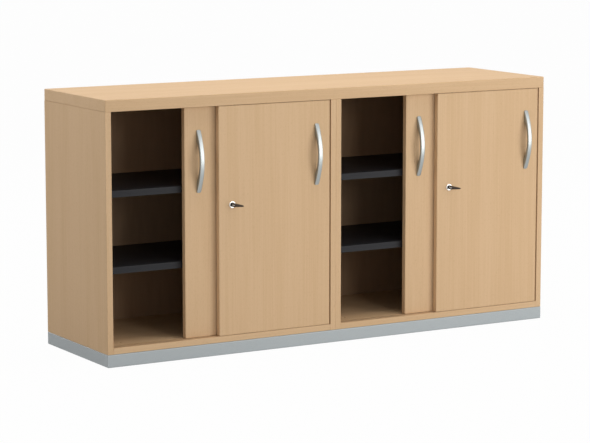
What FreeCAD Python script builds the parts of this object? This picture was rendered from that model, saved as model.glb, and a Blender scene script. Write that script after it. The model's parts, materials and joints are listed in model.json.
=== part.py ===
import FreeCAD, Part
import math
import os

V = FreeCAD.Vector

# Sliding door cabinet: two carcasses side by side under one top and on one plinth.
# Millimetres. X runs along the front, Y from front to back, Z up from the floor.
# The origin is on the floor, in the middle of the carcass.

# Whole cabinet
cabinet_width = 1600.0
cabinet_depth = 432.0
cabinet_height = 808.0
top_thickness = 36.0
board = 19.0
plinth_height = 40.0
top_round = 2.0
board_round = 1.0

# Back panels, let into grooves
back_thickness = 8.0
back_inset = 4.0
back_groove = 6.0

# Doors: a front and a rear one in each bay, which overlap in the middle when shut
door_thickness = 18.0
door_round = 1.0
door_setback = 1.0
door_gap = 3.0
door_side_gap = 4.0
door_overlap = 36.0
door_bottom_gap = 1.0
door_top_gap = 1.0
rear_door_show = 107.0

# Tracks: one grooved profile, let in flush below and above the doors
groove_width = 6.0
groove_depth = 6.0
track_wall = 2.5
track_floor = 2.0

# Rollers in the lower edge of a door, and their cradles
roller_radius = 12.0
roller_width = 5.0
roller_inset = 60.0
roller_lift = 0.3
axle_radius = 1.5
axle_play = 0.06
cradle_length = 46.0
cradle_width = 12.0
cradle_roof = 4.5
cradle_play = 0.5

# Guide pins in the upper edge of a door
guide_inset = 60.0
guide_body_radius = 5.0
guide_body_length = 25.0
guide_pin_radius = 2.5
guide_headroom = 1.0

# Bow handles
handle_length = 193.0
handle_pitch = 160.0
handle_rise = 28.0
handle_thickness = 8.0
handle_width = 14.5
handle_foot = 18.0
handle_toe = 2.5
handle_edge = 1.2
handle_drop = 167.0
handle_inset = 48.0
handle_screw_radius = 2.0
handle_screw_bite = 6.0
handle_screw_head_radius = 4.0
handle_screw_head_height = 2.5

# Locks in the front doors, with a folding key in each
lock_drop = 305.0
lock_inset = 46.5
rosette_radius = 11.0
rosette_height = 2.5
rosette_edge = 0.8
lock_body_radius = 9.0
plug_radius = 5.5
plug_depth = 15.0
plug_proud = 1.0
plug_play = 0.06
keyway_play = 0.1
key_blade_width = 8.0
key_blade_thickness = 2.2
key_blade_depth = 13.0
key_reach = 10.0
key_eye_radius = 4.5
key_pin_radius = 1.5
key_pin_play = 0.06
grip_root_radius = 7.0
grip_tip_radius = 2.5
grip_length = 34.0
grip_root_height = 12.0
grip_tip_height = 4.0
grip_slot_play = 0.4
grip_fold_angle = 22.0

# Steel shelves, folded down on all four sides, and the supports that carry them
lower_shelf_rise = 238.5
upper_shelf_rise = 471.0
shelf_front = 44.0
shelf_lip = 21.0
shelf_sheet = 1.2
shelf_side_gap = 1.0
shelf_back_gap = 2.0
support_radius = 2.5
support_depth = 10.0
support_reach = 12.0
support_width = 10.0
support_height = 6.0
support_front_inset = 80.0
support_rear_inset = 70.0
hole_pitch = 32.0
spare_holes_each_way = 2

# Cam fittings that pull the boards together
cam_radius = 7.5
cam_depth = 13.0
cam_setback = 34.0
cam_bolt_radius = 3.0
cam_bolt_bite = 12.0
cam_bolt_gap = 0.2
cam_front_inset = 110.0
cam_rear_inset = 100.0

# Connector bolts that hold the two carcasses together
connector_radius = 4.0
connector_head_radius = 7.0
connector_head_height = 2.5
connector_spread = 120.0
connector_margin = 120.0

# Plinth: a mitred frame of folded steel channel with a tube across the middle
plinth_sheet = 1.5
plinth_flange = 25.0
plinth_tube_width = 40.0
plinth_screw_radius = 2.0
plinth_screw_bite = 9.0
plinth_screw_head_radius = 4.0
plinth_screw_head_height = 2.5
plinth_screw_inset = 150.0

# Levelling feet, turned from inside the cabinet
foot_radius = 16.0
foot_height = 6.0
spindle_radius = 4.0
spindle_cover = 5.0
spindle_play = 0.1
foot_side_inset = 60.0
foot_front_inset = 75.0

# One overrun serves all cuts that go through a face
overrun = 1.0

# Levels and planes that follow from the sizes
half_width = cabinet_width / 2
front = -cabinet_depth / 2
back = cabinet_depth / 2
floor_top = plinth_height + board
top_underside = cabinet_height - top_thickness
bay_width = half_width - 2 * board
bay_start = {"left": -half_width + board, "right": board}
back_front_face = back - back_inset - back_thickness
door_width = (bay_width - 2 * door_side_gap + door_overlap) / 2
door_bottom = floor_top + door_bottom_gap
door_top = top_underside - door_top_gap
door_face = {"front": front + door_setback,
             "rear": front + door_setback + door_thickness + door_gap}
track_height = groove_depth + track_floor
shelf_tops = {"lower": floor_top + lower_shelf_rise, "upper": floor_top + upper_shelf_rise}
X, Y, Z = V(1, 0, 0), V(0, 1, 0), V(0, 0, 1)


def box(x, y, z):
    """A block between the low and high value given for each axis."""
    corner = V(min(x), min(y), min(z))
    return Part.makeBox(max(x) - min(x), max(y) - min(y), max(z) - min(z), corner)


def rod(start, end, radius):
    """A round bar from one point to another."""
    return Part.makeCylinder(radius, (end - start).Length, start, end - start)


def prism(points, lift):
    """A straight-sided solid on a flat outline of corner points."""
    outline = Part.makePolygon(points + points[:1])
    return Part.Face(outline).extrude(lift)


def bored(solid, cutters):
    """One solid with all its cutters taken out."""
    if not cutters:
        return solid
    return solid.cut(cutters).removeSplitter().Solids[0]


def fused(first, *others):
    """Several touching shapes of one piece as one solid."""
    return first.fuse(list(others)).removeSplitter().Solids[0]


def rounded(solid, radius, edges):
    """A board with some of its edges rounded, as its edging is."""
    return solid.makeFillet(radius, edges).Solids[0]


def front_edges(solid):
    """The edges round the front face of a board that reaches from front to back."""
    return [edge for edge in solid.Edges if edge.BoundBox.YMax < 0]


# The solids of each node, and what is cut out of them
solids = {}
cutters = {}


def add(node, solid):
    solids.setdefault(node, []).append(solid)


def cut(node, tool):
    cutters.setdefault(node, []).append(tool)


def bay_faces(bay):
    """The two side boards of a bay: node, inner face and the way into the board."""
    start, end = bay_start[bay], bay_start[bay] + bay_width
    outer, inner = f"{bay}_outer_side", f"{bay}_inner_side"
    low, high = (outer, inner) if bay == "left" else (inner, outer)
    return [(low, start, -1), (high, end, 1)]


def add_boards():
    """Top, sides, bottoms and backs, with the grooves that hold the backs."""
    top = box((-half_width, half_width), (front, back), (top_underside, cabinet_height))
    add("top_panel", rounded(top, top_round, top.Edges))
    groove_y = (back_front_face, back_front_face + back_thickness)
    for bay, start in bay_start.items():
        end = start + bay_width
        for node, face, way in bay_faces(bay):
            side = box((face, face + way * board), (front, back), (plinth_height, top_underside))
            add(node, rounded(side, board_round, front_edges(side)))
            groove_z = (floor_top - back_groove, top_underside + overrun)
            cut(node, box((face, face + way * back_groove), groove_y, groove_z))
        bottom = box((start, end), (front, back), (plinth_height, floor_top))
        add(f"{bay}_bottom_panel", rounded(bottom, board_round, front_edges(bottom)))
        cut(f"{bay}_bottom_panel", box((start - overrun, end + overrun), groove_y,
                                       (floor_top - back_groove, floor_top + overrun)))
        panel = box((start - back_groove, end + back_groove), groove_y,
                    (floor_top - back_groove, top_underside + back_groove))
        add(f"{bay}_back_panel", panel)
        cut("top_panel", panel)


def add_tracks():
    """A double-grooved track below and above the doors of each bay."""
    centres = [face + door_thickness / 2 for face in door_face.values()]
    track_y = (min(centres) - groove_width / 2 - track_wall, max(centres) + groove_width / 2 + track_wall)
    for bay, start in bay_start.items():
        track_x = (start, start + bay_width)
        seats = ((f"{bay}_bottom_panel", floor_top, -1), ("top_panel", top_underside, 1))
        for board_node, face, way in seats:
            track = box(track_x, track_y, (face, face + way * track_height))
            grooves = [box((min(track_x) - overrun, max(track_x) + overrun),
                           (y - groove_width / 2, y + groove_width / 2),
                           (face - way * overrun, face + way * groove_depth)) for y in centres]
            add("door_tracks", bored(track, grooves))
            cut(board_node, track)


def add_cam_fittings():
    """Cams and bolts: upright ones hold the top, level ones hold the bottoms."""
    for bay in bay_start:
        for node, face, way in bay_faces(bay):
            for y in (front + cam_front_inset, back - cam_rear_inset):
                top_cam = V(face, y, top_underside - cam_setback)
                cam = rod(top_cam, top_cam + X * (way * cam_depth), cam_radius)
                middle = top_cam + X * (way * board / 2)
                bolt_start = middle + Z * (cam_radius + cam_bolt_gap)
                bolt = rod(bolt_start, middle + Z * (cam_setback + cam_bolt_bite), cam_bolt_radius)
                bolt_way = rod(middle, middle + Z * (cam_setback + overrun), cam_bolt_radius)
                add_cam(node, "top_panel", cam, bolt, bolt_way)

                low_cam = V(face - way * cam_setback, y, plinth_height)
                cam = rod(low_cam, low_cam + Z * cam_depth, cam_radius)
                middle = low_cam + Z * (board / 2)
                bolt_start = middle + X * (way * (cam_radius + cam_bolt_gap))
                bolt = rod(bolt_start, middle + X * (way * (cam_setback + cam_bolt_bite)), cam_bolt_radius)
                bolt_way = rod(middle, middle + X * (way * (cam_setback + overrun)), cam_bolt_radius)
                add_cam(f"{bay}_bottom_panel", node, cam, bolt, bolt_way)


def add_cam(cam_board, bolt_board, cam, bolt, bolt_way):
    add("cam_fittings", cam)
    add("cam_fittings", bolt)
    cut(cam_board, cam)
    cut(cam_board, bolt_way)
    cut(bolt_board, bolt)


def add_connectors():
    """Bolts through the two inner sides, with heads let in flush."""
    for y in (-connector_spread / 2, connector_spread / 2):
        for z in (floor_top + connector_margin, top_underside - connector_margin):
            left, right = V(-board, y, z), V(board, y, z)
            inward = X * connector_head_height
            bolt = fused(rod(left, right, connector_radius),
                         rod(left, left + inward, connector_head_radius),
                         rod(right - inward, right, connector_head_radius))
            add("connector_bolts", bolt)
            cut("left_inner_side", bolt)
            cut("right_inner_side", bolt)


def plinth_rail(x, y, flange_x, flange_y, mitre):
    """A folded channel: an outer web with a flange at the top and at the foot, mitred at its ends."""
    web = box(x, y, (0, plinth_height))
    foot = box(flange_x, flange_y, (0, plinth_sheet))
    head = box(flange_x, flange_y, (plinth_height - plinth_sheet, plinth_height))
    wedge = prism([V(px, py, -overrun) for px, py in mitre], Z * (plinth_height + 2 * overrun))
    return fused(web, foot, head).common(wedge).removeSplitter().Solids[0]


def add_plinth():
    """Four mitred rails, the tube across the middle and the screws up into the bottoms."""
    reach = cabinet_depth / 2
    for node, edge, way in (("plinth_front_rail", front, 1), ("plinth_rear_rail", back, -1)):
        span = (-half_width, half_width)
        mitre = [(-half_width, edge), (half_width, edge), (half_width - reach, 0), (reach - half_width, 0)]
        add(node, plinth_rail(span, (edge, edge + way * plinth_sheet),
                              span, (edge, edge + way * plinth_flange), mitre))
        for start in bay_start.values():
            for x in (start + plinth_screw_inset, start + bay_width - plinth_screw_inset):
                seat = V(x, edge + way * plinth_flange / 2, plinth_height - plinth_sheet)
                screw = fused(rod(seat, seat + Z * (plinth_sheet + plinth_screw_bite), plinth_screw_radius),
                              rod(seat - Z * plinth_screw_head_height, seat, plinth_screw_head_radius))
                add("plinth_screws", screw)
                cut(node, screw)
                cut("left_bottom_panel" if x < 0 else "right_bottom_panel", screw)
    for node, edge, way in (("plinth_left_rail", -half_width, 1), ("plinth_right_rail", half_width, -1)):
        mitre = [(edge, front), (edge, back), (edge + way * reach, 0)]
        add(node, plinth_rail((edge, edge + way * plinth_sheet), (front, back),
                              (edge, edge + way * plinth_flange), (front, back), mitre))
    tube_x = plinth_tube_width / 2
    tube_y = (front + plinth_flange, back - plinth_flange)
    tube = box((-tube_x, tube_x), tube_y, (0, plinth_height))
    hollow = box((plinth_sheet - tube_x, tube_x - plinth_sheet),
                 (min(tube_y) - overrun, max(tube_y) + overrun),
                 (plinth_sheet, plinth_height - plinth_sheet))
    add("plinth_middle_rail", bored(tube, [hollow]))


def add_levelling_feet():
    """A pad on a spindle that screws into the bottom, four to a bay."""
    for bay, start in bay_start.items():
        for x in (start + foot_side_inset, start + bay_width - foot_side_inset):
            for y in (front + foot_front_inset, back - foot_front_inset):
                pad_foot = V(x, y, 0)
                spindle_end = V(x, y, floor_top - spindle_cover)
                add("levelling_feet", fused(rod(pad_foot, pad_foot + Z * foot_height, foot_radius),
                                            rod(pad_foot, spindle_end, spindle_radius)))
                cut(f"{bay}_bottom_panel", rod(pad_foot, V(x, y, floor_top + overrun),
                                               spindle_radius + spindle_play))


def add_shelves():
    """Folded steel shelves on supports, and the rows of holes that the supports can move to."""
    shelf_y = (front + shelf_front, back_front_face - shelf_back_gap)
    for bay, start in bay_start.items():
        shelf_x = (start + shelf_side_gap, start + bay_width - shelf_side_gap)
        for level, top in shelf_tops.items():
            under = top - shelf_lip
            inside = box((min(shelf_x) + shelf_sheet, max(shelf_x) - shelf_sheet),
                         (min(shelf_y) + shelf_sheet, max(shelf_y) - shelf_sheet),
                         (under - overrun, top - shelf_sheet))
            add(f"{bay}_{level}_shelf", bored(box(shelf_x, shelf_y, (under, top)), [inside]))
            for node, face, way in bay_faces(bay):
                for y in (front + support_front_inset, back - support_rear_inset):
                    add_support(node, V(face, y, under - support_height / 2), way)


def add_support(node, place, way):
    """One shelf support in its hole, with spare holes above and below it."""
    stud = rod(place, place + X * (way * support_depth), support_radius)
    tongue = box((place.x, place.x - way * support_reach),
                 (place.y - support_width / 2, place.y + support_width / 2),
                 (place.z - support_height / 2, place.z + support_height / 2))
    add("shelf_supports", fused(tongue, stud))
    for step in range(-spare_holes_each_way, spare_holes_each_way + 1):
        hole = place + Z * (step * hole_pitch)
        cut(node, rod(hole, hole + X * (way * support_depth), support_radius))


def bow_handle(place):
    """A bow between two arcs, standing out from the door face at a place on it."""
    outer, inner = handle_length / 2, handle_pitch / 2 - handle_foot
    inner_rise = handle_rise - handle_thickness

    def point(z, height):
        return place + V(-handle_width / 2, -height, z)

    lower_toe, upper_toe = point(-outer, handle_toe), point(outer, handle_toe)
    lower_heel, upper_heel = point(-inner, 0), point(inner, 0)
    edges = [Part.Arc(lower_toe, point(0, handle_rise), upper_toe).toShape(),
             Part.LineSegment(upper_toe, point(outer, 0)).toShape(),
             Part.LineSegment(point(outer, 0), upper_heel).toShape(),
             Part.Arc(upper_heel, point(0, inner_rise), lower_heel).toShape(),
             Part.LineSegment(lower_heel, point(-outer, 0)).toShape(),
             Part.LineSegment(point(-outer, 0), lower_toe).toShape()]
    bow = Part.Face(Part.Wire(edges)).extrude(X * handle_width)
    arcs = [edge for edge in bow.Edges if isinstance(edge.Curve, Part.Circle)]
    outer_arcs = [edge for edge in arcs if edge.BoundBox.YMin < place.y - inner_rise - handle_edge]
    return rounded(bow, handle_edge, outer_arcs)


def add_handle(door, place):
    """The bow and its two screws, whose heads are let into the back of the door."""
    bow = bow_handle(place)
    for z in (-handle_pitch / 2, handle_pitch / 2):
        seat = place + V(0, door_thickness, z)
        tip = place + V(0, -handle_screw_bite, z)
        shank = rod(tip, seat, handle_screw_radius)
        head = Part.makeCone(handle_screw_head_radius, handle_screw_radius, handle_screw_head_height,
                             seat, -Y)
        screw = fused(shank, head)
        add(f"{door}_handle_screws", screw)
        cut(f"{door}_panel", screw)
        cut(f"{door}_handle", rod(tip, place + V(0, overrun, z), handle_screw_radius))
    add(f"{door}_handle", bow)


def add_runners(door, start, middle_y):
    """Rollers in cradles in the lower edge of a door, and guide pins in its upper edge."""
    axle_z = floor_top - groove_depth + roller_lift + roller_radius
    cradle_top = axle_z + roller_radius + cradle_play + cradle_roof
    for number, x in enumerate((start + roller_inset, start + door_width - roller_inset), 1):
        cradle_y = (middle_y - cradle_width / 2, middle_y + cradle_width / 2)
        cradle = box((x - cradle_length / 2, x + cradle_length / 2), cradle_y, (door_bottom, cradle_top))
        cut(f"{door}_panel", cradle)
        slot_x = roller_radius + cradle_play
        slot_y = roller_width / 2 + cradle_play
        slot = box((x - slot_x, x + slot_x), (middle_y - slot_y, middle_y + slot_y),
                   (door_bottom - overrun, cradle_top - cradle_roof))
        axle = rod(V(x, min(cradle_y), axle_z), V(x, max(cradle_y), axle_z), axle_radius)
        add(f"{door}_roller_cradles", bored(cradle, [slot, axle]))
        add(f"{door}_roller_cradles", axle)
        near, far = V(x, middle_y - roller_width / 2, axle_z), V(x, middle_y + roller_width / 2, axle_z)
        add(f"{door}_roller_{number}", bored(rod(near, far, roller_radius),
                                             [rod(near - Y * overrun, far + Y * overrun,
                                                  axle_radius + axle_play)]))
    for x in (start + guide_inset, start + door_width - guide_inset):
        rim = V(x, middle_y, door_top)
        pin_end = V(x, middle_y, top_underside + groove_depth - guide_headroom)
        body = rod(rim - Z * guide_body_length, rim, guide_body_radius)
        add(f"{door}_top_guides", fused(body, rod(rim - Z * guide_body_length, pin_end, guide_pin_radius)))
        cut(f"{door}_panel", body)


def grip_outline():
    """A round root at the pin and a smaller round tip, joined by their common tangents."""
    lean = math.acos((grip_root_radius - grip_tip_radius) / grip_length)
    tip = V(0, -grip_length, 0)
    left, right = V(-math.sin(lean), -math.cos(lean), 0), V(math.sin(lean), -math.cos(lean), 0)
    root_left, root_right = left * grip_root_radius, right * grip_root_radius
    tip_left, tip_right = tip + left * grip_tip_radius, tip + right * grip_tip_radius
    return Part.Wire([Part.Arc(root_right, V(0, grip_root_radius, 0), root_left).toShape(),
                      Part.LineSegment(root_left, tip_left).toShape(),
                      Part.Arc(tip_left, tip - Y * grip_tip_radius, tip_right).toShape(),
                      Part.LineSegment(tip_right, root_right).toShape()])


def key_grip(pin):
    """The moulded grip: cheeks round the eye of the blade, a pin through it, folded to one side."""
    root, tip = grip_root_height / 2, grip_tip_height / 2
    half_width, tip_end = grip_root_radius + overrun, -grip_length - grip_tip_radius - overrun
    taper = [(half_width, -root), (half_width, root), (0, root), (tip_end, tip), (tip_end, -tip), (0, -root)]
    wedge = prism([V(-half_width, y, z) for y, z in taper], X * (2 * half_width))
    grip = Part.Face(grip_outline()).extrude(Z * grip_root_height)
    grip.translate(-Z * root)
    grip = grip.common(wedge).Solids[0]
    slot = key_blade_thickness / 2 + grip_slot_play
    clear = math.hypot(grip_root_radius, key_blade_width / 2 + grip_slot_play)
    grip = grip.cut(rod(-Z * slot, Z * slot, clear))
    grip = fused(grip, rod(-Z * root, Z * root, key_pin_radius))
    grip.rotate(V(0, 0, 0), Z, grip_fold_angle)
    grip.translate(pin)
    return grip


def add_lock(bay, door, start):
    """Housing in the door, a plug that turns in it, the key's blade in the plug and its folding grip."""
    place = V(start + lock_inset, door_face["front"], door_top - lock_drop)
    face = place - Y * rosette_height
    rosette = rod(place, face, rosette_radius)
    rim = [edge for edge in rosette.Edges if edge.BoundBox.YMax < place.y - rosette_edge]
    rosette = rosette.makeFillet(rosette_edge, [edge for edge in rim if edge.Closed])
    body = rod(place, place + Y * door_thickness, lock_body_radius)
    plug_end = face + Y * plug_depth
    plug_seat = rod(face - Y * (plug_proud + overrun), plug_end, plug_radius + plug_play)
    add(f"{bay}_lock_housing", bored(fused(rosette, body), [plug_seat]))
    cut(f"{door}_panel", body)

    plug = rod(face - Y * plug_proud, plug_end, plug_radius)
    blade_x = (place.x - key_blade_width / 2, place.x + key_blade_width / 2)
    blade_z = (place.z - key_blade_thickness / 2, place.z + key_blade_thickness / 2)
    pin = V(place.x, face.y - plug_proud - key_reach, place.z)
    blade = box(blade_x, (pin.y, face.y + key_blade_depth), blade_z)
    keyway = box((min(blade_x) - keyway_play, max(blade_x) + keyway_play),
                 (face.y - plug_proud - overrun, face.y + key_blade_depth),
                 (min(blade_z) - keyway_play, max(blade_z) + keyway_play))
    add(f"{bay}_lock_plug", bored(plug, [keyway]))
    half = Z * (key_blade_thickness / 2)
    eye = rod(pin - half, pin + half, key_eye_radius)
    hole = rod(pin - half - Z * overrun, pin + half + Z * overrun, key_pin_radius + key_pin_play)
    add(f"{bay}_key_blade", bored(fused(blade, eye), [hole]))
    add(f"{bay}_key_grip", key_grip(pin))


def add_doors():
    """A front door shut against the right of its bay, and a rear door slid partly behind it."""
    for bay, bay_x in bay_start.items():
        shut = bay_x + bay_width - door_side_gap - door_width
        starts = {"front": shut, "rear": shut - rear_door_show}
        for layer, start in starts.items():
            door = f"{bay}_{layer}_door"
            face = door_face[layer]
            panel = box((start, start + door_width), (face, face + door_thickness), (door_bottom, door_top))
            add(f"{door}_panel", rounded(panel, door_round, panel.Edges))
            handle_x = start + handle_inset if layer == "rear" else start + door_width - handle_inset
            add_handle(door, V(handle_x, face, door_top - handle_drop))
            add_runners(door, start, face + door_thickness / 2)
            if layer == "front":
                add_lock(bay, door, start)


def write_parts():
    """Take out the cuts and write one file per node."""
    os.makedirs("parts", exist_ok=True)
    for node, pieces in solids.items():
        pieces = [bored(piece, cutters.get(node, [])) for piece in pieces]
        for piece in pieces:
            if not piece.isValid() or len(piece.Solids) != 1:
                raise RuntimeError(f"{node} is not one sound solid")
        shape = pieces[0] if len(pieces) == 1 else Part.makeCompound(pieces)
        shape.exportStep(f"parts/{node}.step")
        print(f"{node}: {len(pieces)} solid(s), {sum(piece.Volume for piece in pieces):.0f} mm3")
    print(f"{len(solids)} nodes")


add_boards()
add_tracks()
add_cam_fittings()
add_connectors()
add_plinth()
add_levelling_feet()
add_shelves()
add_doors()
write_parts()
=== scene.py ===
# %% [markdown]
# # A sliding door cabinet, dressed in Blender
# The cabinet's boards, doors, rollers and locks already exist as exact solids. This lesson loads
# them as a fixed frame, gives each one the finish of the real thing, and remakes the pieces whose
# softly rounded forms catch the light: the bow handles, the lock rings, the key grips, the folded
# shelves and the folded plinth. Every length is in metres, on the cabinet's own axes: X to the
# right along the front, Y from front to back, Z up from the floor.

# %% Load the frame
import bmesh
import bpy
import json
import numpy as np
from mathutils import Euler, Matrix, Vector


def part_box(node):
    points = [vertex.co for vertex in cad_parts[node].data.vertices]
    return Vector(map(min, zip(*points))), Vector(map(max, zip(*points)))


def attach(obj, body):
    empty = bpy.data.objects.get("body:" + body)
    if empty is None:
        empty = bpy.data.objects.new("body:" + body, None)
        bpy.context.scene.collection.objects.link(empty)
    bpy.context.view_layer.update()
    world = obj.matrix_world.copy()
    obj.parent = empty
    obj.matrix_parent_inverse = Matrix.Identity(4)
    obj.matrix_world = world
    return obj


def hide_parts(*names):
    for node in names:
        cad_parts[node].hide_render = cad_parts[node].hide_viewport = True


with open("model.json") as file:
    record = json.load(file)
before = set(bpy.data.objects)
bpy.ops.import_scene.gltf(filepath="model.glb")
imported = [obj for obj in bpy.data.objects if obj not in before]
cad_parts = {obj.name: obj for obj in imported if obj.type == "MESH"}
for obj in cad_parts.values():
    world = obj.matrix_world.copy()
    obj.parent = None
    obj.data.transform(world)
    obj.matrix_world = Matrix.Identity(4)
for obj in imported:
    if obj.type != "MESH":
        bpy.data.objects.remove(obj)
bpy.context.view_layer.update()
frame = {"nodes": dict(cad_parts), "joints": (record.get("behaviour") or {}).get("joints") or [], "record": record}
nodes = frame["nodes"]

# %% [markdown]
# ## The camera
# A product picture of furniture is taken from far away with a long lens, so that the uprights stay
# nearly parallel. Here the lens stands about seven and a half metres off, thirty degrees to the
# left of the front and a little above it. The numbers were solved from the corners of the cabinet,
# so they land within about three pixels of where the picture shows them.

# %% Camera
camera_place = (-3.85012, -6.52804, 1.48325)
camera_yaw, camera_dip = np.radians(30.383), np.radians(8.4416)
camera_lens, sensor_width = 144.862, 36.0  # in millimetres, as on a real camera
camera = bpy.data.objects.new("camera", bpy.data.cameras.new("camera"))
camera.data.lens = camera_lens
camera.data.sensor_width = sensor_width
camera.location = camera_place
camera.rotation_euler = Euler((np.pi / 2 - camera_dip, 0.0, -camera_yaw))
bpy.context.scene.collection.objects.link(camera)
bpy.context.scene.camera = camera
print("camera at", camera_place, "lens", camera_lens, "mm")

# %% [markdown]
# ## Surfaces from numbers
# A piece of furniture hardware is usually a simple curve carried along a path. numpy can work out
# all the points of such a surface at once, as a grid of rows and columns, and Blender only has to
# be told which four neighbours make a face. Where a row shrinks to one point it closes the surface,
# so doubled points are merged and the faces are turned outwards afterwards.

# %% From a grid of points to a piece
crease = np.radians(35)
merge_distance = 1e-7


def piece_from(name, points, faces):
    """A mesh object from points and faces: doubles merged, faces outwards, creases kept sharp."""
    mesh = bpy.data.meshes.new(name)
    mesh.from_pydata(points.reshape(-1, 3).tolist(), [], faces)
    work = bmesh.new()
    work.from_mesh(mesh)
    bmesh.ops.remove_doubles(work, verts=work.verts, dist=merge_distance)
    bmesh.ops.recalc_face_normals(work, faces=work.faces)
    work.to_mesh(mesh)
    work.free()
    mesh.polygons.foreach_set("use_smooth", np.ones(len(mesh.polygons), bool))
    mesh.set_sharp_from_angle(angle=crease)
    piece = bpy.data.objects.new(name, mesh)
    bpy.context.scene.collection.objects.link(piece)
    return piece


def grid_faces(rows, columns, closed=True):
    """Four neighbours to a face. The columns run round and meet again, unless closed is False."""
    index = np.arange(rows * columns).reshape(rows, columns)
    if closed:
        index = np.hstack([index, index[:, :1]])
    corners = [index[:-1, :-1], index[:-1, 1:], index[1:, 1:], index[1:, :-1]]
    return np.stack(corners, axis=-1).reshape(-1, 4).tolist()


print("edges stay sharp from", round(np.degrees(crease)), "degrees")

# %% [markdown]
# ## Writing a finish as sums
# A procedural finish is arithmetic on numbers that change over the surface. Blender does that with
# a node for each sum, which is slow to write and hard to read. One small class wraps a node's
# output, so that plus, minus and times in Python add the nodes. Every other kind of node comes from
# one method.

# %% A wire
class Wire:
    """One output of a shader node. Sums on it add Math nodes to the same finish."""

    def __init__(self, finish, socket):
        self.finish, self.socket = finish, socket

    def sum(self, operation, first, second=0.0):
        """One Math node on two wires or numbers."""
        return self.finish.node("Math", {"operation": operation}, {0: first, 1: second})

    def __add__(self, other):
        return self.sum("ADD", self, other)

    def __sub__(self, other):
        return self.sum("SUBTRACT", self, other)

    def __rsub__(self, other):
        return self.sum("SUBTRACT", other, self)

    def __mul__(self, other):
        return self.sum("MULTIPLY", self, other)

    def __abs__(self):
        return self.sum("ABSOLUTE", self)

    __radd__, __rmul__ = __add__, __mul__


print("a wire knows plus, minus, times and absolute")

# %% A finish
socket_names = {"base_color": "Base Color", "roughness": "Roughness", "metallic": "Metallic",
                "normal": "Normal", "specular_ior_level": "Specular IOR Level"}
mix_share, mix_first, mix_second, mix_result = 0, 6, 7, 2  # a Mix node's sockets for colours


class Finish:
    """A material in the making, with the object's own coordinates as its starting point."""

    def __init__(self, name):
        self.material = bpy.data.materials.new(name)
        self.material.use_nodes = True
        self.tree = self.material.node_tree
        self.shader = self.tree.nodes["Principled BSDF"]
        self.place = self.node("TexCoord", out="Object")

    def node(self, kind, settings=None, sockets=None, out=0):
        """Any node: its settings are set first, then its sockets get values or wires."""
        made = self.tree.nodes.new("ShaderNode" + kind)
        for key, value in (settings or {}).items():
            setattr(made, key, value)
        for key, value in (sockets or {}).items():
            self.feed(made.inputs[key], value)
        return Wire(self, made.outputs[out])

    def feed(self, socket, value):
        """A wire is linked to the socket; a value is set on it."""
        if isinstance(value, Wire):
            self.tree.links.new(value.socket, socket)
        else:
            socket.default_value = value

    def paint(self, **sockets):
        """Values or wires for the surface itself, such as base_color or roughness."""
        for key, value in sockets.items():
            self.feed(self.shader.inputs[socket_names[key]], value)
        return self.material

    def coordinate(self, axis):
        """Where a point lies along x, y or z."""
        return self.node("SeparateXYZ", sockets={0: self.place}, out=axis.upper())

    def noise(self, clouds, detail, shift=(0.0, 0.0, 0.0)):
        """Cloudy noise from 0 to 1. Clouds to the metre: one number, or one for each axis."""
        spread = self.node("Mapping", sockets={"Vector": self.place, "Location": shift,
                                               "Scale": np.broadcast_to(clouds, 3).tolist()})
        return self.node("TexNoise", sockets={"Vector": spread, "Scale": 1.0, "Detail": detail})

    def step(self, value, start, end):
        """0 below start, 1 above end, smooth between them."""
        return self.node("MapRange", {"interpolation_type": "SMOOTHSTEP"},
                         {"Value": value, "From Min": start, "From Max": end})

    def blend(self, share, first, second):
        """One colour where share is 0, the other where it is 1."""
        return self.node("Mix", {"data_type": "RGBA"},
                         {mix_share: share, mix_first: first, mix_second: second}, mix_result)

    def bump(self, height, distance, strength):
        """Tiny hills and pits, of so many metres."""
        return self.node("Bump", sockets={"Height": height, "Distance": distance,
                                          "Strength": strength})


def colour(red, green, blue):
    """A screen colour of 0 to 255 as the linear colour that shaders use, by the sRGB formula."""
    share = np.array([red, green, blue]) / 255
    linear = np.where(share <= 0.04045, share / 12.92, ((share + 0.055) / 1.055) ** 2.4)
    return (*linear.tolist(), 1.0)


print("finish bench ready")

# %% [markdown]
# ## The light beech boards
# The boards are chipboard with a printed beech surface. Beech has a quiet, straight grain: broad
# soft bands, fine streaks, and short dark flecks about a centimetre long. Noise stretched along the
# grain gives all three. Uprights and doors have upright grain; on the top and the bottoms it runs
# along the cabinet. Each visible edge has a two millimetre band glued on, which shows as a
# hair-thin joint just inside the edge.

# %% Beech
beech_base, beech_streak = colour(212, 180, 143), colour(206, 173, 135)
beech_fleck, fleck_share = colour(170, 134, 94), 0.30
beech_joint, joint_share = colour(140, 102, 66), 0.55
# Clouds to the metre, across the grain and along it.
band_clouds, streak_clouds, fleck_clouds = (14.0, 0.7), (260.0, 3.5), (1100.0, 95.0)
# Where the noise begins to show, and where it shows in full.
streak_limits, fleck_limits = (0.36, 0.66), (0.60, 0.72)
board_roughness, fleck_polish, board_sheen = 0.5, 0.06, 0.06
pore_depth, pore_strength = 0.00004, 0.5
# The joint is darkest within the given share of its width.
band_thickness, joint_width, joint_core = 0.002, 0.00022, 0.4
# The noise moves on by so many times a board's place, so that no two boards are alike.
board_shift = 7.3
axis_index = {"x": 0, "y": 1, "z": 2}


def grain_clouds(grain, across, lengthwise):
    """So many clouds to the metre across the grain, and fewer along it."""
    clouds = [across] * 3
    clouds[axis_index[grain]] = lengthwise
    return clouds


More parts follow.
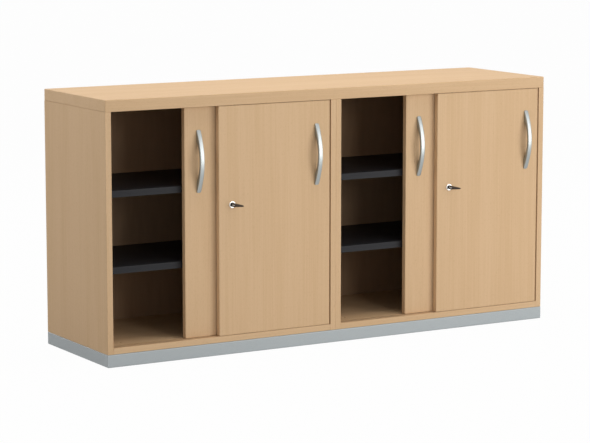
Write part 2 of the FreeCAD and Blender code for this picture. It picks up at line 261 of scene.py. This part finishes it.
def grain_colour(finish, grain, shift=(0.0, 0.0, 0.0)):
    """Bands, streaks and flecks as one colour, and the flecks alone for the surface's pores."""
    bands = finish.noise(grain_clouds(grain, *band_clouds), detail=2.0, shift=shift)
    streaks = finish.noise(grain_clouds(grain, *streak_clouds), detail=3.0, shift=shift)
    specks = finish.noise(grain_clouds(grain, *fleck_clouds), detail=1.0, shift=shift)
    flecks = finish.step(specks, *fleck_limits)
    share = finish.step(bands * 0.5 + streaks * 0.5, *streak_limits)
    wood = finish.blend(share, beech_base, beech_streak)
    return finish.blend(flecks * fleck_share, wood, beech_fleck), flecks


def edge_distance(finish, node, axis):
    """How far in from the nearer end of a board, along one axis."""
    low, high = (corner[axis_index[axis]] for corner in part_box(node))
    return (high - low) / 2 - abs(finish.coordinate(axis) - (high + low) / 2)


def beech(node, grain, banded):
    """The beech of one board: its grain, and the joint of its edge bands on the axes named."""
    finish = Finish(f"beech_{node}")
    shift = [float(v) for v in np.array(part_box(node)[0]) * board_shift]
    wood, flecks = grain_colour(finish, grain, shift)
    for axis in banded:
        off_joint = abs(edge_distance(finish, node, axis) - band_thickness)
        joint = 1 - finish.step(off_joint, joint_width * joint_core, joint_width)
        wood = finish.blend(joint * joint_share, wood, beech_joint)
    return finish.paint(base_color=wood, roughness=board_roughness - flecks * fleck_polish,
                        normal=finish.bump(1 - flecks, pore_depth, pore_strength),
                        specular_ior_level=board_sheen)


boards = {"top_panel": ("x", "xy")}  # the way of the grain, and the axes with banded ends
for bay in ("left", "right"):
    boards[f"{bay}_outer_side"] = boards[f"{bay}_inner_side"] = ("z", "y")
    boards[f"{bay}_bottom_panel"] = ("x", "y")
    for layer in ("rear", "front"):
        boards[f"{bay}_{layer}_door_panel"] = ("z", "xz")
board_finishes = {node: beech(node, *how) for node, how in boards.items()}
print("beech boards:", len(board_finishes))

# %% [markdown]
# ## The back boards
# A cabinet back is a thin fibreboard. Its inner face is painted a mid brown, darker than the beech,
# as painted shade for the dim inside of the bays, and it looks almost black in the shade behind the
# shelves. Its outer face is beech, because the cabinet may stand free in a room. One finish does
# both: it asks how far back a point lies.

# %% Back boards
# The inner face's brown and its cloud colour are painted shade: darker than the board, for the dim inside of the
# bays.
back_painted_shade_brown, back_painted_shade_cloud, back_clouds = colour(174, 143, 112), colour(155, 125, 96), (60.0, 60.0, 9.0)
back_roughness, back_polish = 0.55, 0.08
skin_clouds, skin_depth, skin_strength = 900.0, 0.00005, 0.4
back_inner, back_outer = (corner.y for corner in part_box("left_back_panel"))
back_middle, back_change = (back_inner + back_outer) / 2, 0.001


def back_board():
    """Brown with faint clouds in front of the board's middle, as painted shade for the inside; beech behind it."""
    finish = Finish("back_board")
    wood, flecks = grain_colour(finish, "z")
    # The inner face: a painted shade brown with faint clouds.
    inside = finish.blend(finish.noise(back_clouds, detail=3.0), back_painted_shade_brown, back_painted_shade_cloud)
    behind = finish.step(finish.coordinate("y"), back_middle - back_change,
                         back_middle + back_change)
    skin = finish.bump(finish.noise(skin_clouds, detail=1.0), skin_depth, skin_strength)
    return finish.paint(base_color=finish.blend(behind, inside, wood),
                        roughness=back_roughness - flecks * back_polish, normal=skin)


back_finish = back_board()
print("back board split at y =", round(back_middle, 4))

# %% [markdown]
# ## Painted and plated steel
# The plinth is powder coated in silver grey and the shelves in black. Powder melts into a skin like
# fine orange peel, so both get a small bump and an uneven gloss. Screws, cams and shelf supports
# are zinc plated, which shows as crystals of slightly different greys. The lock and the key's blade
# are bright nickel with faint smears, and the plug that turns in the lock is blackened.

# %% Powder coat
speck_clouds, speck_limits, speck_share = 2600.0, (0.52, 0.7), 0.5
coat_clouds, coat_share, coat_swing = 9.0, 0.12, 0.12
peel_clouds, peel_depth, peel_strength = 420.0, 0.00006, 0.5


def powder_coat(name, base, speck, roughness, metal, sheen):
    """Paint with fine specks, orange peel and slightly uneven gloss."""
    finish = Finish(name)
    specks = finish.step(finish.noise(speck_clouds, detail=1.0), *speck_limits)
    peel = finish.noise(peel_clouds, detail=2.0)
    cloud = finish.noise(coat_clouds, detail=2.0)
    tone = specks * speck_share + cloud * coat_share
    return finish.paint(base_color=finish.blend(tone, base, speck), metallic=metal,
                        roughness=roughness + (cloud - 0.5) * coat_swing,
                        normal=finish.bump(peel, peel_depth, peel_strength),
                        specular_ior_level=sheen)


silver_steel = powder_coat("silver_steel", colour(155, 161, 163), colour(177, 183, 185),
                           roughness=0.46, metal=0.25, sheen=0.4)
black_steel = powder_coat("black_steel", colour(24, 24, 27), colour(38, 38, 42),
                          roughness=0.5, metal=0.0, sheen=0.2)
print("powder coats:", silver_steel.name, black_steel.name)

# %% Plated steel
zinc_cells, zinc_dark, zinc_pale = 260.0, colour(176, 178, 180), colour(203, 204, 203)
zinc_roughness, zinc_swing = 0.30, 0.16
smear_clouds = (120.0, 120.0, 300.0)
nickel_clean, nickel_touched = colour(232, 231, 228), colour(214, 212, 206)
nickel_roughness, nickel_swing = 0.07, 0.10
wear_clouds, oxide_dark, oxide_worn = 700.0, colour(38, 36, 34), colour(58, 54, 50)
oxide_metal, oxide_roughness, oxide_swing = 0.6, 0.34, 0.18


def zinc_plate():
    """Grey metal whose crystals, cells a few millimetres wide, differ in tone and gloss."""
    finish = Finish("zinc_plate")
    cells = finish.node("TexVoronoi", sockets={"Vector": finish.place, "Scale": zinc_cells},
                        out="Color")
    tone = finish.node("SeparateColor", sockets={0: cells})
    return finish.paint(base_color=finish.blend(tone, zinc_dark, zinc_pale), metallic=1.0,
                        roughness=zinc_roughness + tone * zinc_swing)


def bright_nickel():
    """Polished plate with faint smears where fingers touch it."""
    finish = Finish("bright_nickel")
    smear = finish.noise(smear_clouds, detail=3.0)
    return finish.paint(base_color=finish.blend(smear, nickel_clean, nickel_touched), metallic=1.0,
                        roughness=nickel_roughness + smear * nickel_swing)


def black_oxide():
    """Blackened steel, a little paler and duller where it is worn."""
    finish = Finish("black_oxide")
    wear = finish.noise(wear_clouds, detail=2.0)
    return finish.paint(base_color=finish.blend(wear, oxide_dark, oxide_worn),
                        metallic=oxide_metal, roughness=oxide_roughness + wear * oxide_swing)


zinc_steel, nickel, dark_steel = zinc_plate(), bright_nickel(), black_oxide()
print("plated steel:", zinc_steel.name, nickel.name, dark_steel.name)

# %% [markdown]
# ## Satin aluminium
# The handles are brushed along their length and then anodised. The brush marks are streaks far
# longer than they are wide, so the noise has few clouds along Z. They change the gloss and add the
# faintest ridges; the colour hardly moves.

# %% Satin aluminium
brush_clouds, brush_depth, brush_strength = (2400.0, 2400.0, 26.0), 0.00003, 0.35
satin_dark, satin_pale = colour(150, 155, 154), colour(170, 174, 172)
satin_roughness, satin_swing = 0.34, 0.10


def satin_aluminium():
    """Pale metal with brush marks in its tone, its gloss and its surface."""
    finish = Finish("satin_aluminium")
    marks = finish.noise(brush_clouds, detail=2.0)
    return finish.paint(base_color=finish.blend(marks, satin_dark, satin_pale), metallic=1.0,
                        roughness=satin_roughness + marks * satin_swing,
                        normal=finish.bump(marks, brush_depth, brush_strength))


aluminium = satin_aluminium()
print("satin aluminium ready")

# %% [markdown]
# ## Moulded and extruded plastic
# Cradles, guides and feet are black, the rollers white nylon, the key grip brown-black. Moulded
# plastic shows the fine spark texture of its mould. The track is drawn through a die instead, which
# leaves lines along it.

# %% Plastics
moulded, drawn = 1800.0, (3.0, 1500.0, 1500.0)  # clouds to the metre
spark_depth, spark_strength, spark_swing = 0.00005, 0.5, 0.16


def plastic(name, base, shade, roughness, texture):
    """Spark texture or drawn lines as a bump, with the colour a little deeper in the pits."""
    finish = Finish(name)
    spark = finish.noise(texture, detail=2.0)
    return finish.paint(base_color=finish.blend(spark, shade, base),
                        roughness=roughness + (spark - 0.5) * spark_swing,
                        normal=finish.bump(spark, spark_depth, spark_strength))


black_plastic = plastic("black_plastic", colour(46, 46, 47), colour(32, 32, 33), 0.5, moulded)
key_plastic = plastic("key_plastic", colour(58, 44, 33), colour(36, 27, 21), 0.38, moulded)
white_nylon = plastic("white_nylon", colour(226, 225, 219), colour(208, 206, 198), 0.42, moulded)
track_plastic = plastic("track_plastic", colour(205, 171, 132), colour(188, 153, 114), 0.40, drawn)
print("plastics:", black_plastic.name, key_plastic.name, white_nylon.name, track_plastic.name)

# %% [markdown]
# ## Every solid gets its finish
# The record of the cabinet names a material for each solid. A table from that name to a finish
# dresses them all at once; the boards have a finish each, because the grain and the edge bands
# follow the board. The pieces that are remade below take over from their solids in the same way: a
# helper lets each one move with its solid's body, hides the solid and hands on its finish.

# %% Dress the solids
finishes = {"back_board": back_finish, "silver_steel": silver_steel, "black_steel": black_steel,
            "satin_aluminium": aluminium, "nickel": nickel, "zinc_steel": zinc_steel,
            "dark_steel": dark_steel, "black_plastic": black_plastic, "key_plastic": key_plastic,
            "white_nylon": white_nylon, "track_plastic": track_plastic}
slot_of = {part["node"]: part["material_slot"] for part in frame["record"]["subparts"]}
body_of = {node: body for body, members in frame["record"]["behaviour"]["bodies"].items()
           for node in members}
for node, solid in nodes.items():
    solid.data.materials.clear()
    solid.data.materials.append(board_finishes.get(node) or finishes[slot_of[node]])
print("solids dressed:", len(nodes))


def fit(piece, node):
    """The piece moves with its solid's body, stands for the solid and takes its finish."""
    piece.data.materials.append(finishes[slot_of[node]])
    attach(piece, body_of[node])
    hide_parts(node)
    print(piece.name, "faces:", len(piece.data.polygons))


# %% [markdown]
# ## Bow handles
# The handle is a flat bar bent into a bow, thick in the middle and thin at its two feet, with every
# edge eased. Its outer and inner lines are two arcs. At each height the bar's section is a rounded
# rectangle between those two lines; a superellipse gives that section in one formula, and near the
# ends its width falls away to round the corners of the feet.

# %% Bow handles
handle_toe, handle_bar, heel_span = 0.0025, 0.008, 0.124
handle_section, handle_ends = 5.0, 80  # powers: the higher, the tighter the rounding
handle_rows, handle_columns = 121, 48


def eased_rows(count):
    """From -1 to 1 in a column, closer together at both ends: the sine of an even angle."""
    return np.sin(np.linspace(-np.pi / 2, np.pi / 2, count))[:, None]


def full_turn(count):
    """So many angles, evenly round a circle."""
    return np.arange(count) * 2 * np.pi / count


def arc_height(z, span, rise):
    """Height of a circular arc over its chord: rise in the middle, 0 from half the span on."""
    radius = ((span / 2) ** 2 + rise ** 2) / (2 * rise)
    inside = np.clip(np.abs(z), 0.0, span / 2)
    return rise - radius + np.sqrt(radius ** 2 - inside ** 2)


def rounded_section(columns, power):
    """A superellipse round the angle: each of cos and sin, to the power 2 over the given power."""
    angle = full_turn(columns)
    circle = np.stack([np.cos(angle), np.sin(angle)])
    return np.sign(circle) * np.abs(circle) ** (2 / power)


def bow_handle(name, low, high):
    """Rows run up the bow, closer together at its ends; columns run round the bar."""
    share = eased_rows(handle_rows)
    length, rise = high.z - low.z, high.y - low.y
    z = share * length / 2
    outer = handle_toe + arc_height(z, length, rise - handle_toe)
    inner = arc_height(z, heel_span, rise - handle_bar)
    half_width = (high.x - low.x) / 2 * np.sqrt(1 - np.abs(share) ** handle_ends)
    wide, deep = rounded_section(handle_columns, handle_section)
    height = (outer + inner) / 2 + (outer - inner) / 2 * deep
    x = (high.x + low.x) / 2 + half_width * wide
    points = np.stack([x, high.y - height, (high.z + low.z) / 2 + z + 0 * height], axis=-1)
    return piece_from(name, points, grid_faces(handle_rows, handle_columns))


for bay in ("left", "right"):
    for layer in ("rear", "front"):
        node = f"{bay}_{layer}_door_handle"
        fit(bow_handle(f"{bay}_{layer}_bow", *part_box(node)), node)

# %% [markdown]
# ## Lock rings
# The lock's face is a bright domed ring on the door, with the turning plug in its bore. It is
# turned on a lathe, so it is one profile carried round the lock's axis: down the bore, over the
# dome, down to the door, and back along the barrel inside the door.

# %% Lock rings
ring_turns, dome_points = 96, 25
bore_radius, dome_inner, dome_foot, ring_rise = 0.00556, 0.0062, 0.0007, 0.0025
barrel_radius, bore_depth = 0.009, 0.0125


def lock_profile(ring_radius, barrel_length):
    """Radius and height of the turned profile; the dome is half an ellipse across the ring."""
    turn = np.linspace(0, np.pi, dome_points)
    dome_radius = (ring_radius + dome_inner) / 2 - (ring_radius - dome_inner) / 2 * np.cos(turn)
    dome_height = dome_foot + (ring_rise - dome_foot) * np.sin(turn)
    start = [(0.0, -bore_depth), (bore_radius, -bore_depth), (bore_radius, dome_foot)]
    end = [(ring_radius, 0.0), (barrel_radius, 0.0), (barrel_radius, -barrel_length),
           (0.0, -barrel_length)]
    return np.vstack([start, np.column_stack([dome_radius, dome_height]), end])


def lock_ring(name, low, high):
    """The profile turned about the Y axis through the middle of the ring."""
    face = low.y + ring_rise
    profile = lock_profile((high.x - low.x) / 2, high.y - face)
    radius, height = profile[:, :1], profile[:, 1:]
    angle = full_turn(ring_turns)
    points = np.stack([(high.x + low.x) / 2 + radius * np.cos(angle), face - height + 0 * angle,
                       (high.z + low.z) / 2 + radius * np.sin(angle)], axis=-1)
    return piece_from(name, points, grid_faces(len(profile), ring_turns))


for bay in ("left", "right"):
    node = f"{bay}_lock_housing"
    fit(lock_ring(f"{bay}_lock_ring", *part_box(node)), node)

# %% [markdown]
# ## Key grips
# The key folds: its moulded grip turns on a pin through the blade's eye. From above, the grip is a
# drop, a large round at the pin and a small one at the tip; from the side it tapers as well. At
# each place along its axis the section is a soft superellipse of that width and height. A flat
# round cutter then opens the slot that the eye of the blade sits in.

# %% Key grips
grip_root, grip_tip, grip_length, grip_fold = 0.007, 0.0025, 0.034, np.radians(22.0)
root_half_height, tip_half_height = 0.006, 0.002
grip_section, grip_ends = 3.0, 16  # powers, as on the handles
slot_reach, slot_half_height = 0.0083, 0.0015
grip_rows, grip_columns, slot_turns = 81, 44, 48


def drop_width(reach):
    """Half the drop's width: a circle at the root, a straight flank, a circle at the tip."""
    lean = (grip_root - grip_tip) / grip_length
    flank = np.sqrt(1 - lean ** 2)
    start, end = grip_root * lean, grip_length + grip_tip * lean
    root = np.sqrt(np.clip(grip_root ** 2 - reach ** 2, 0, None))
    tip = np.sqrt(np.clip(grip_tip ** 2 - (reach - grip_length) ** 2, 0, None))
    straight = (grip_root - reach * lean) / flank
    return np.where(reach < start, root, np.where(reach > end, tip, straight))


def grip_body(name, pin):
    """Rows from behind the pin to the tip, columns round the section, all turned by the fold."""
    share = eased_rows(grip_rows)
    behind, ahead = -grip_root, grip_length + grip_tip
    reach = (ahead + behind) / 2 + share * (ahead - behind) / 2
    taper = np.interp(reach, [0.0, ahead], [root_half_height, tip_half_height])
    height = taper * np.sqrt(1 - share ** grip_ends)
    wide, deep = rounded_section(grip_columns, grip_section)
    aside = drop_width(reach) * wide
    x = aside * np.cos(grip_fold) + reach * np.sin(grip_fold)
    y = aside * np.sin(grip_fold) - reach * np.cos(grip_fold)
    points = np.stack([pin[0] + x, pin[1] + y, pin[2] + height * deep], axis=-1)
    return piece_from(name, points, grid_faces(grip_rows, grip_columns))


def open_slot(body, pin):
    """Take a flat disc about the pin out of the grip; what is left becomes the grip's own mesh."""
    profile = np.array([(0, -1), (1, -1), (1, 1), (0, 1)]) * (slot_reach, slot_half_height)
    radius, height = profile[:, :1], profile[:, 1:]
    angle = full_turn(slot_turns)
    points = np.stack([pin[0] + radius * np.cos(angle), pin[1] + radius * np.sin(angle),
                       pin[2] + height + 0 * angle], axis=-1)
    disc = piece_from("slot_disc", points, grid_faces(len(profile), slot_turns))
    cutter = body.modifiers.new("slot", "BOOLEAN")
    cutter.object, cutter.operation, cutter.solver = disc, "DIFFERENCE", "EXACT"
    graph = bpy.context.evaluated_depsgraph_get()
    cut = bpy.data.meshes.new_from_object(body.evaluated_get(graph))
    body.modifiers.clear()
    body.data = cut
    bpy.data.objects.remove(disc)


for bay in ("left", "right"):
    fold_name = f"{bay}_key_fold"
    pin = next(joint["pos_m"] for joint in frame["joints"] if joint["name"] == fold_name)
    grip = grip_body(f"{bay}_grip", pin)
    open_slot(grip, pin)
    fit(grip, f"{bay}_key_grip")

# %% [markdown]
# ## Folded shelves
# A steel shelf is one sheet with all four sides folded down. A real fold has a small radius, and
# that is what catches a line of light along the front. The outline of the shelf is a rectangle with
# rounded corners; the sheet's profile, from the middle of its top, over the fold and down the lip,
# then back up inside, is carried round that outline.

# %% Folded shelves
sheet_thickness, fold_radius = 0.0012, 0.0028
corner_radius, least_radius = 0.004, 0.0005
settle = 0.0005  # a short flat beside each fold, so that its shading ends there
to_middle = 1.0  # this far in, which is more than any shelf has, means the very middle
corner_steps, fold_steps = 7, 9


def sheet_fold(radius, thickness):
    """The outer and the inner side of a fold: two quarter circles about one centre."""
    bend = np.linspace(0, np.pi / 2, fold_steps)
    quarter = np.column_stack([np.sin(bend), np.cos(bend)])
    return radius * (1 - quarter), radius - (radius - thickness) * quarter


def tray_profile(lip):
    """How far in from the outline, and how far below the top, from the top's middle and back."""
    outside, inside = sheet_fold(fold_radius, sheet_thickness)
    near = fold_radius + settle
    flat = [(to_middle, 0.0), (near, 0.0)]
    lips = [(0.0, near), (0.0, lip), (sheet_thickness, lip), (sheet_thickness, near)]
    under = [(near, sheet_thickness), (to_middle, sheet_thickness)]
    return np.vstack([flat, outside, lips, inside[::-1], under])


def folded_tray(name, low, high):
    """At each profile point, a rounded rectangle moved in by that much, or its very middle."""
    profile = tray_profile(high.z - low.z)
    inward, down = profile[:, :1], profile[:, 1:]
    quarters = np.arange(4)[:, None] * np.pi / 2
    angle = (quarters + np.linspace(0, np.pi / 2, corner_steps)).ravel()
    diagonal = np.repeat(quarters + np.pi / 4, corner_steps)
    radius = np.clip(corner_radius - inward, least_radius, None)
    middle = inward >= to_middle
    half_x = np.where(middle, 0.0, (high.x - low.x) / 2 - inward - radius)
    half_y = np.where(middle, 0.0, (high.y - low.y) / 2 - inward - radius)
    radius = np.where(middle, 0.0, radius)
    x = (high.x + low.x) / 2 + half_x * np.sign(np.cos(diagonal)) + radius * np.cos(angle)
    y = (high.y + low.y) / 2 + half_y * np.sign(np.sin(diagonal)) + radius * np.sin(angle)
    points = np.stack([x, y, high.z - down + 0 * angle], axis=-1)
    return piece_from(name, points, grid_faces(len(profile), len(angle)))


for bay in ("left", "right"):
    for level in ("lower", "upper"):
        node = f"{bay}_{level}_shelf"
        fit(folded_tray(f"{bay}_{level}_tray", *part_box(node)), node)

# %% [markdown]
# ## The folded plinth
# The plinth is a frame of four steel channels, each folded from sheet and cut at forty five degrees
# where it meets its neighbours. The channel's profile is carried along the rail; the mitre is there
# because a point deeper in the profile stops that much short of the rail's end.

# %% Folded plinth
rail_sheet, rail_fold, rail_flange = 0.0015, 0.003, 0.025
# The axis that a rail runs along, and which way along the other axis its depth goes.
rails = {"front": (0, 1), "rear": (0, -1), "left": (1, 1), "right": (1, -1)}


def upside_down(part, height):
    """A part of the profile as it is at the other end of the web, in reverse order."""
    return np.column_stack([part[:, 0], height - part[:, 1]])[::-1]


def channel_profile(height):
    """Depth and height round the channel: foot, web and head outside, then back inside."""
    outside, inside = sheet_fold(rail_fold, rail_sheet)
    near = rail_fold + settle
    outer = np.vstack([[(rail_flange, 0.0), (near, 0.0)], outside, [(0.0, near)]])
    inner = np.vstack([[(rail_sheet, near)], inside[::-1],
                       [(near, rail_sheet), (rail_flange, rail_sheet)]])
    return np.vstack([outer, upside_down(outer, height), upside_down(inner, height), inner])


def mitred_rail(name, low, high, run, inward):
    """The channel along axis run, its depth going inward along the other, with mitred ends."""
    profile = channel_profile(high.z - low.z)
    depth, height = profile[:, 0], profile[:, 1]
    across = 1 - run
    face = low[across] if inward > 0 else high[across]
    half_length = (high[run] - low[run]) / 2 - depth
    count = len(profile)
    points = np.zeros((2, count, 3))
    points[:, :, run] = (high[run] + low[run]) / 2 + np.array([[-1], [1]]) * half_length
    points[:, :, across] = face + inward * depth
    points[:, :, 2] = low.z + height
    caps = [list(range(count)), list(range(count, 2 * count))]
    return piece_from(name, points, grid_faces(2, count) + caps)


for side, (run, inward) in rails.items():
    node = f"plinth_{side}_rail"
    fit(mitred_rail(f"plinth_{side}_channel", *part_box(node), run, inward), node)

# %% [markdown]
# ## The floor
# A studio picture needs a floor that looks white to the lens and still takes a shadow. The floor is
# a pale matt sheet; for rays from the lens, and for reflections, most of it is replaced by plain
# white.

# %% Floor
floor_reach, floor_steps = 30.0, 7
floor_dark, floor_pale, floor_clouds = colour(182, 182, 182), colour(190, 190, 190), 0.4
floor_roughness, floor_white = 0.9, 0.98
plain_white = {"Color": (1.0, 1.0, 1.0, 1.0), "Strength": 1.0}


def background_share(finish):
    """1 for rays from the lens, from mirrors and through glass, 0 for the light on the cabinet."""
    camera_ray, glossy_ray, clear_ray = (finish.node("LightPath", out=f"Is {kind} Ray")
                                         for kind in ("Camera", "Glossy", "Transmission"))
    return camera_ray.sum("MINIMUM", camera_ray + glossy_ray + clear_ray, 1.0)


def floor_finish():
    """A pale matt sheet, most of which is plain white to the lens."""
    finish = Finish("studio_floor")
    cloud = finish.noise(floor_clouds, detail=1.0)
    surface = finish.paint(base_color=finish.blend(cloud, floor_dark, floor_pale),
                           roughness=floor_roughness)
    white = finish.node("Emission", sockets=plain_white)
    both = finish.node("MixShader", sockets={0: background_share(finish) * floor_white,
                                             1: Wire(finish, finish.shader.outputs[0]), 2: white})
    finish.feed(finish.tree.nodes["Material Output"].inputs["Surface"], both)
    return surface


span = np.linspace(-floor_reach, floor_reach, floor_steps)
floor_points = np.stack([*np.meshgrid(span, span), np.zeros((floor_steps, floor_steps))], axis=-1)
floor = piece_from("studio_floor", floor_points, grid_faces(floor_steps, floor_steps, closed=False))
floor.data.materials.append(floor_finish())
print("floor:", 2 * floor_reach, "m square")

# %% [markdown]
# ## Lamps and sky
# Eight soft boxes light the cabinet evenly. The key lamp and the low lamp stand in front on the
# right, where the handles mirror them. One stands straight in front, a weak one beside the lens
# lifts the shade inside the bays, and a warm one hangs over the top. The last three stand left,
# right and behind, so that no side falls into the dark. The sky gives a little light from
# everywhere, and is plain white to the lens and in reflections, as the floor is.

# %% Lamps
def soft_lamp(name, place, target, size, power, tint=(1.0, 1.0, 1.0)):
    """A rectangular soft box that faces its target and is itself not seen by the lens."""
    lamp = bpy.data.lights.new(name, "AREA")
    lamp.shape = "RECTANGLE"
    lamp.size, lamp.size_y = size
    lamp.energy, lamp.color = power, tint
    holder = bpy.data.objects.new(name, lamp)
    holder.location = place
    holder.visible_camera = False
    holder.rotation_euler = (Vector(target) - Vector(place)).to_track_quat("-Z", "Y").to_euler()
    bpy.context.scene.collection.objects.link(holder)
    print(name, "at", place, power, "W")


# Where a lamp stands, what it faces, its width and height, its power in watts, and any tint.
lamps = {"key_lamp": ((2.2, -3.4, 2.0), (0.1, 0.0, 0.45), (2.2, 1.6), 26.0),
         "low_lamp": ((2.4, -3.5, 0.55), (0.9, 0.0, 0.6), (2.8, 1.1), 52.0),
         "front_lamp": ((0.0, -4.6, 1.6), (0.1, 0.0, 0.5), (1.2, 1.0), 31.0),
         "lens_lamp": ((-3.0, -5.2, 1.7), (0.0, 0.0, 0.45), (1.6, 1.6), 4.5),
         "left_lamp": ((-2.8, -0.2, 2.2), (-0.8, 0.0, 0.6), (1.4, 1.2), 24.0),
         "top_lamp": ((0.3, -0.1, 3.2), (0.0, 0.0, 0.8), (2.6, 1.6), 49.0, (1.0, 0.96, 0.88)),
         "back_lamp": ((-1.6, 4.4, 1.6), (0.0, 0.2, 0.4), (2.2, 1.6), 50.0),
         "right_lamp": ((4.2, 0.9, 1.8), (0.8, 0.2, 0.4), (1.6, 1.6), 32.0)}
for name, how in lamps.items():
    soft_lamp(name, *how)

# %% Sky
sky_light = 0.28
sky = bpy.data.worlds.new("studio_sky")
sky.use_nodes = True
bpy.context.scene.world = sky
bpy.context.scene.view_settings.view_transform = "Standard"


class SkyFinish(Finish):
    """The same bench, on the sky's own nodes."""

    def __init__(self, world):
        self.tree = world.node_tree


bench = SkyFinish(sky)
soft_sky = bench.node("Background", sockets={**plain_white, "Strength": sky_light})
white_sky = bench.node("Background", sockets=plain_white)
both_skies = bench.node("MixShader", sockets={0: background_share(bench), 1: soft_sky,
                                              2: white_sky})
bench.feed(bench.tree.nodes["World Output"].inputs["Surface"], both_skies)
print("sky light:", sky_light)
